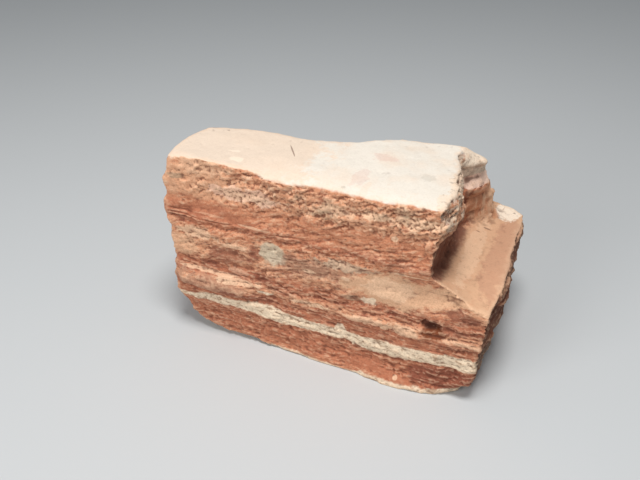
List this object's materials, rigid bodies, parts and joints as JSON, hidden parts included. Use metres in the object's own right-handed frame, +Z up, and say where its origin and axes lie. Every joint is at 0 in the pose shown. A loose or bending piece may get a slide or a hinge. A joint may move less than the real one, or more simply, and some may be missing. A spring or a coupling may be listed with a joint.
{
  "type": "jacobsville sandstone block",
  "caption": "Broken block of bedded red sandstone with a pale top plane, a pale band, a bleached round spot and a stepped ledge where the upper beds broke away; rests on its flat underside.",
  "frame": {"origin": "middle of the bounding box, on the ground under the flat underside", "axes": "+X along the front face to the right, towards the ledge; +Y into the depth, away from the front face; +Z up, square to the beds"},
  "size_m": [0.2444, 0.153, 0.1465],
  "materials": {
    "red_sandstone": "matt, rough, bedded red with pale bands"
  },
  "bodies": {
    "root": {"sandstone_block": "red_sandstone"}
  },
  "joints": []
}
